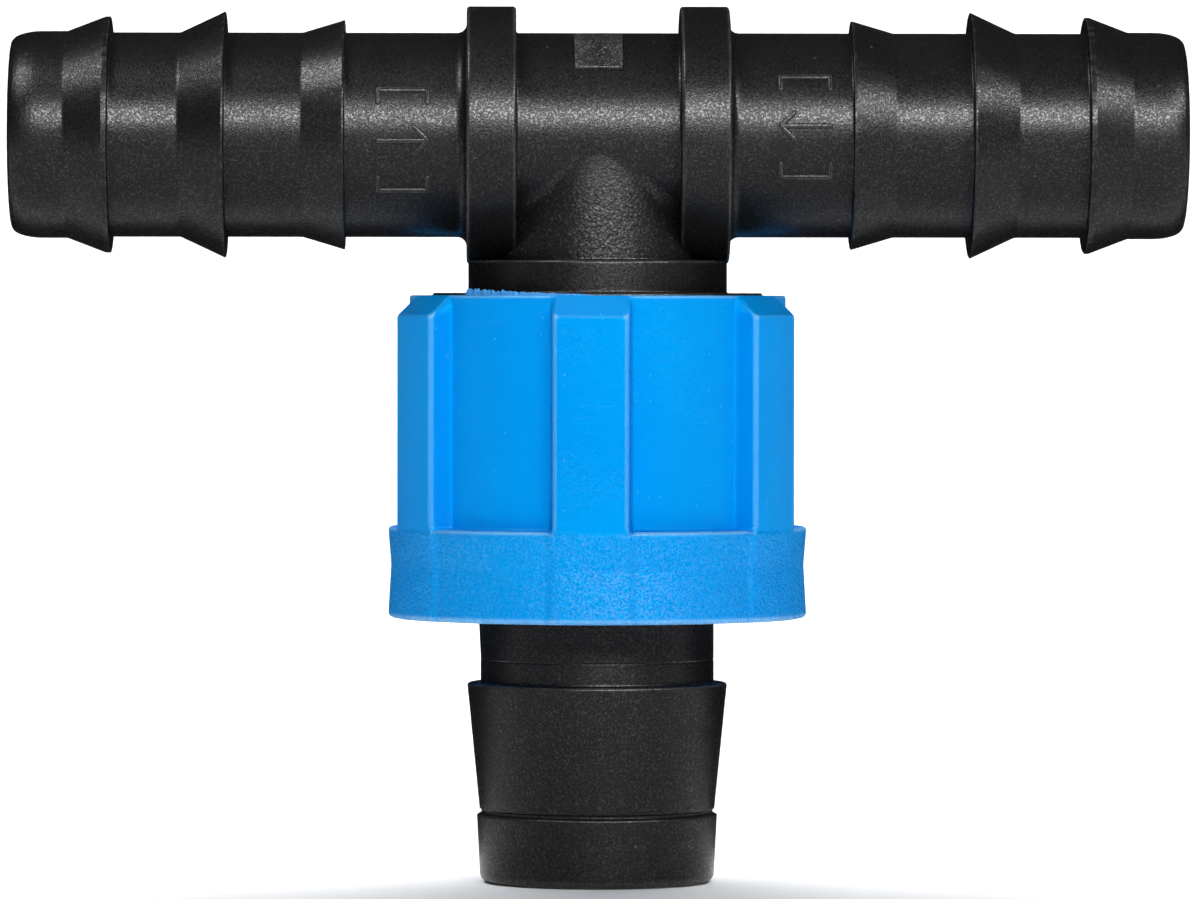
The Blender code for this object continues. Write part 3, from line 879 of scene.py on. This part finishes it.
def group(tree, kind, **inputs):
    """The first output of a placed group with these inputs."""
    return add(tree, "ShaderNodeGroup", inputs, node_tree=kind).outputs[0]


def attribute(tree, name):
    """The number that a piece keeps under this name."""
    return add(tree, "ShaderNodeAttribute", attribute_name=name, attribute_type="GEOMETRY").outputs["Fac"]


def emboss(tree, shader, height, distance=1.0):
    """Turns a height in metres, times distance, into the shader's normal."""
    bump = add(tree, "ShaderNodeBump", {"Strength": 1.0, "Distance": distance, "Height": height})
    tree.links.new(bump.outputs[0], shader.inputs["Normal"])


def new_finish(name, **constants):
    """A material with its Principled BSDF, the object's coordinates, and constants on its own sockets."""
    material = bpy.data.materials.new(name)
    material.use_nodes = True
    tree = material.node_tree
    shader = tree.nodes["Principled BSDF"]
    for key, value in constants.items():
        shader.inputs[key.replace("_", " ")].default_value = value
    place = add(tree, "ShaderNodeTexCoord").outputs["Object"]
    return material, tree, shader, place


def black_moulding(name, shade=1.0, coarse=None, grain=1.0, speckle=0.2):
    """Black polypropylene off a spark-eroded mould: fine speckled grain, sparse dust, edges made grey for
    rubbed wear and painted edge highlights, and painted glints as pale dots. shade and grain scale its base
    colour and its relief, coarse replaces the piece's own mask, and speckle is how pale the tops of the
    coarse blobs are painted, as glints."""
    material, tree, shader, place = new_finish(name, Specular_IOR_Level=0.15, Coat_Roughness=0.3)
    coarse = attribute(tree, "coarse") if coarse is None else coarse
    relief = {"Place": place, "Coarse": coarse, "Grain": 0.8e-5 * grain, "Blobs": 2.4e-5 * grain}
    surface = add(tree, "ShaderNodeGroup", relief, node_tree=skin)
    wear_and_highlight = group(tree, edge_wear_and_highlight, Place=place, Worn=attribute(tree, "worn_and_highlit"), Breaks=0.75)
    specks = group(tree, dust_and_glint_specks, Place=place, Scale=850.0, Share=0.22)
    glints = group(tree, dust_and_glint_specks, Place=place, Scale=2500.0, Share=0.3)
    rubs = group(tree, rub_marks, Place=place, Amount=0.6)
    drift = noise(tree, place, 120, 3, 0.6)
    base = blend(tree, drift, (0.005 * shade, 0.005 * shade, 0.0055 * shade, 1),
                 (0.0078 * shade, 0.0077 * shade, 0.0083 * shade, 1))
    # Painted glints: the coarse blobs' tops are made paler by speckle, and they also get a real coat below.
    tops = maths(tree, "MULTIPLY", surface.outputs["Tops"], coarse)
    glint_tops = maths(tree, "MULTIPLY", tops, speckle)
    base = blend(tree, glint_tops, base, (0.05 * shade, 0.05 * shade, 0.053 * shade, 1))
    shine = ramp(tree, surface.outputs["Print"], 0.52, 0.66, 0.0, 0.6)
    shine = maths(tree, "MULTIPLY_ADD", tops, 0.8, shine)
    tree.links.new(shine, shader.inputs["Coat Weight"])
    # Painted glints: sparse pale dots.
    base = blend(tree, maths(tree, "MULTIPLY", glints, 0.7), base, (0.045, 0.045, 0.046, 1))
    # Edges made grey: partly rubbed wear, partly painted edge highlight.
    base = blend(tree, maths(tree, "MULTIPLY", wear_and_highlight, 0.8), base, (0.11, 0.109, 0.11, 1))
    base = blend(tree, maths(tree, "MULTIPLY", rubs, 0.35), base, (0.05, 0.05, 0.052, 1))
    base = blend(tree, maths(tree, "MULTIPLY", specks, 0.7), base, (0.1, 0.095, 0.085, 1))
    tree.links.new(base, shader.inputs["Base Color"])
    rough = ramp(tree, drift, 0.3, 0.7, -0.03, 0.03)
    rough = maths(tree, "ADD", rough, ramp(tree, surface.outputs["Lot"], 0, 1, 0.26, 0.42))
    rough = maths(tree, "MULTIPLY_ADD", wear_and_highlight, -0.1, rough)
    rough = maths(tree, "MULTIPLY_ADD", rubs, -0.1, rough)
    tree.links.new(rough, shader.inputs["Roughness"])
    emboss(tree, shader, surface.outputs["Height"])
    return material


def blue_moulding():
    """Blue polypropylene, slightly cloudy, with a coarse pebbled skirt, edges made pale for rubbed wear and
    painted edge highlights, painted glints on the skirt, and painted shade on the ribs' walls and in
    creases.
    """
    material, tree, shader, place = new_finish(
        "blue_polypropylene_skin",
        Specular_IOR_Level=0.2,
        Specular_Tint=(0.0, 0.6, 1.0, 1),
        Coat_Roughness=0.4,
    )
    coarse = attribute(tree, "coarse")
    relief = {"Place": place, "Coarse": coarse, "Grain": 1.2e-5, "Blobs": 8e-5}
    surface = add(tree, "ShaderNodeGroup", relief, node_tree=skin)
    wear_and_highlight = group(tree, edge_wear_and_highlight, Place=place, Worn=attribute(tree, "worn_and_highlit"), Breaks=0.4)
    rubs = group(tree, rub_marks, Place=place, Amount=0.15)
    specks = group(tree, dust_and_glint_specks, Place=place, Scale=1300.0, Share=0.3)
    glints = maths(tree, "MULTIPLY", surface.outputs["Tops"], coarse)
    drift = noise(tree, place, 90, 3, 0.55)
    base = blend(tree, drift, (0.0, 0.25, 0.78, 1), (0.0, 0.33, 0.83, 1))
    # Painted shade: the ribs' side walls darker, and a little in the creases.
    base = blend(tree, maths(tree, "MULTIPLY", attribute(tree, "wall_shade"), 0.45), base, (0.0, 0.19, 0.72, 1))
    base = blend(tree, maths(tree, "MULTIPLY", attribute(tree, "cupped_shade"), 0.2), base, (0.0, 0.17, 0.78, 1))
    # Edges made pale blue: partly rubbed wear, partly painted edge highlight.
    base = blend(tree, maths(tree, "MULTIPLY", wear_and_highlight, 0.9), base, (0.3, 0.65, 1.0, 1))
    base = blend(tree, maths(tree, "MULTIPLY", rubs, 0.4), base, (0.12, 0.5, 0.98, 1))
    # Pale blue specks: partly dust, partly painted glints.
    base = blend(tree, maths(tree, "MULTIPLY", specks, 0.25), base, (0.3, 0.65, 1.0, 1))
    # Painted glints: the skirt's blob tops made paler.
    base = blend(tree, maths(tree, "MULTIPLY", glints, 0.12), base, (0.2, 0.6, 1.0, 1))
    tree.links.new(base, shader.inputs["Base Color"])
    rough = ramp(tree, surface.outputs["Print"], 0.3, 0.7, 0.36, 0.52)
    rough = maths(tree, "MULTIPLY_ADD", coarse, -0.16, rough)
    tree.links.new(rough, shader.inputs["Roughness"])
    nick = ramp(tree, surface.outputs["Print"], 0.52, 0.62)
    sparkle = ramp(tree, surface.outputs["Print"], 0.48, 0.56, 0.0, 0.45)
    shine = maths(tree, "MULTIPLY", coarse, sparkle)
    shine = maths(tree, "MULTIPLY_ADD", maths(tree, "MULTIPLY", wear_and_highlight, nick), 0.8, shine)
    patch = ramp(tree, noise(tree, place, 160, 2, 0.5), 0.5, 0.65, 0.02, 0.15)
    tree.links.new(maths(tree, "MULTIPLY_ADD", nick, patch, shine), shader.inputs["Coat Weight"])
    emboss(tree, shader, surface.outputs["Height"])
    return material


def rubber_finish():
    """Dull black rubber with a fine talc bloom."""
    material, tree, shader, place = new_finish("washer_rubber", Specular_IOR_Level=0.4)
    bloom = ramp(tree, noise(tree, place, 500, 4, 0.6), 0.4, 0.75)
    grain = noise(tree, place, 5000, 3, 0.6)
    base = blend(tree, bloom, (0.012, 0.012, 0.012, 1), (0.04, 0.04, 0.042, 1))
    tree.links.new(base, shader.inputs["Base Color"])
    tree.links.new(ramp(tree, bloom, 0, 1, 0.65, 0.85), shader.inputs["Roughness"])
    emboss(tree, shader, grain, 8e-6)
    return material


# Putting the pieces in ------------------------------------------------------------------------------

def put_in(name, mesh, material, body, slot_name, *nodes, sharp=35, wear_and_highlight=1.0):
    """Adds a piece that rides on a body and may stand for CAD nodes. Shading breaks at edges over sharp
    degrees, and is weighted by face area elsewhere."""
    mesh.materials.clear()
    mesh.materials.append(material)
    # Edge mask for rubbed wear and painted edge highlights, scaled by the last argument, and crease mask
    # for painted shade.
    paint_edges(mesh, wear_and_highlight)
    mesh.shade_smooth()
    mesh.set_sharp_from_angle(angle=math.radians(sharp))
    piece = bpy.data.objects.new(name, mesh)
    bpy.context.scene.collection.objects.link(piece)
    even = piece.modifiers.new("even_shading", "WEIGHTED_NORMAL")
    even.keep_sharp = True
    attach(piece, body)
    if nodes:
        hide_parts(*nodes)
    return piece


black_skin = black_moulding("black_polypropylene_skin")
# Painted light: the insert's base is 2.2 times lighter and its pebble tops are pale, as painted glints.
insert_skin_painted_lighter = black_moulding("black_insert_painted_lighter_skin", shade=2.2, coarse=1.0, grain=2.0, speckle=1.0)
blue_skin = blue_moulding()
rubber = rubber_finish()

put_in("tee_moulding", tee_mesh(), black_skin, "tee", "black_polypropylene", "tee_body")
put_in("gate_pad", gate_pad_mesh(), insert_skin_painted_lighter, "tee", "black_polypropylene")
marks = joined("hose_push_marks", push_mark_meshes(1) + push_mark_meshes(-1))
put_in("hose_push_marks", marks, black_skin, "tee", "black_polypropylene", sharp=60)
put_in("nut_moulding", nut_mesh(), blue_skin, "nut", "blue_polypropylene", "union_nut")
put_in("nut_top_flash", nut_flash_mesh(), blue_skin, "nut", "blue_polypropylene", sharp=60, wear_and_highlight=0.45)
put_in("spigot_moulding", spigot_mesh(), black_skin, "spigot", "black_polypropylene", "tape_spigot")
put_in("rubber_washer", washer_mesh(), rubber, "seal", "black_rubber", "sealing_washer")


# Floor, light and camera ------------------------------------------------------------------------------

def paper_sheet(name, y, z, gloss):
    """Stage paper: a section of (y, z) points carried along X. gloss says whether reflections show it."""
    x = np.linspace(-PAPER_REACH, PAPER_REACH, 3)
    points = np.stack(np.broadcast_arrays(x[None], y[:, None], z[:, None]), -1)
    rows, columns = points.shape[:2]
    numbers = np.arange(rows * columns).reshape(rows, columns)
    quads = np.stack([numbers[:-1, :-1], numbers[:-1, 1:], numbers[1:, 1:], numbers[1:, :-1]], -1)
    mesh = bpy.data.meshes.new(name)
    mesh.from_pydata(points.reshape(-1, 3), [], quads.reshape(-1, 4))
    mesh.shade_smooth()
    mesh.materials.append(paper)
    sheet = bpy.data.objects.new(name, mesh)
    sheet.visible_glossy = gloss
    bpy.context.scene.collection.objects.link(sheet)


def facing(place, heading):
    """The matrix of a light or camera at a place that looks along heading."""
    return Matrix.Translation(place) @ heading.to_track_quat("-Z", "Y").to_matrix().to_4x4()


def soft_light(name, azimuth, elevation, reach, size, power, aim=(0, 0, 0.03), matt=True, gloss=True):
    """A rectangular soft box, reach away from aim: azimuth is to the right of the viewer and elevation
    above the horizon, in degrees. matt and gloss say which kinds of reflection it lights."""
    data = bpy.data.lights.new(name, "AREA")
    data.shape = "RECTANGLE"
    data.size, data.size_y = size
    data.energy = power
    turn, lift = math.radians(azimuth), math.radians(elevation)
    back = Vector((math.sin(turn) * math.cos(lift), -math.cos(turn) * math.cos(lift), math.sin(lift)))
    obj = bpy.data.objects.new(name, data)
    obj.matrix_world = facing(Vector(aim) + back * reach, -back)
    obj.visible_diffuse = matt
    obj.visible_glossy = gloss
    bpy.context.scene.collection.objects.link(obj)


paper = new_finish("pale_paper", Base_Color=(0.86, 0.86, 0.86, 1), Roughness=0.9, Specular_IOR_Level=0.1)[0]
# The floor just behind the object starts a second sheet, which curves up into the backdrop. Reflections
# don't show that one, so that the pieces' outer edges stay dark.
PAPER_REACH = 2.2  # to each side, and up
FLOOR_FRONT = -1.6
FLOOR_SPLIT = 0.02
FLOOR_BACK = 0.75
WALL_BEND = 0.35
bend = np.radians(np.linspace(0, 90, 24))
paper_sheet("pale_floor", np.array([FLOOR_FRONT, FLOOR_SPLIT]), np.zeros(2), True)
back_y = np.concatenate([[FLOOR_SPLIT], FLOOR_BACK + WALL_BEND * np.sin(bend), [FLOOR_BACK + WALL_BEND]])
back_z = np.concatenate([[0], WALL_BEND * (1 - np.cos(bend)), [PAPER_REACH]])
paper_sheet("pale_backdrop", back_y, back_z, False)

world = bpy.data.worlds.new("studio")
world.use_nodes = True
world.node_tree.nodes["Background"].inputs["Color"].default_value = (1, 1, 1, 1)
world.node_tree.nodes["Background"].inputs["Strength"].default_value = 0.01
bpy.context.scene.world = world

soft_light("key_box", 12, 26, 0.7, (0.5, 0.3), 3.1, gloss=False)
soft_light("key_sheen", 11, 23, 0.7, (0.6, 0.13), 11, matt=False)
soft_light("right_sheen", 52, 33, 0.7, (0.35, 0.12), 3.6, matt=False)
soft_light("left_box", -50, 50, 0.7, (0.3, 0.3), 0.5, gloss=False)
soft_light("left_sheen", -60, 58, 0.7, (0.3, 0.25), 4.2, matt=False)
soft_light("top_box", 180, 60, 0.9, (1.2, 1.0), 9, aim=(0, 0.1, 0), gloss=False)
soft_light("backdrop_box", 0, 80, 0.7, (1.6, 0.5), 9, aim=(0, 0.5, 0.1), gloss=False)

camera_data = bpy.data.cameras.new("camera")
camera_data.lens = 240
camera_data.sensor_width = 36
camera_data.clip_start = 0.01
camera = bpy.data.objects.new("camera", camera_data)
eye = Vector((-0.0065, -0.528, 0.0387))
aim = Vector((0.00017, 0, 0.028566))
camera.matrix_world = facing(eye, aim - eye) @ Matrix.Rotation(math.radians(0.07), 4, "Z")
bpy.context.scene.collection.objects.link(camera)
bpy.context.scene.camera = camera
bpy.context.scene.view_settings.view_transform = "Standard"
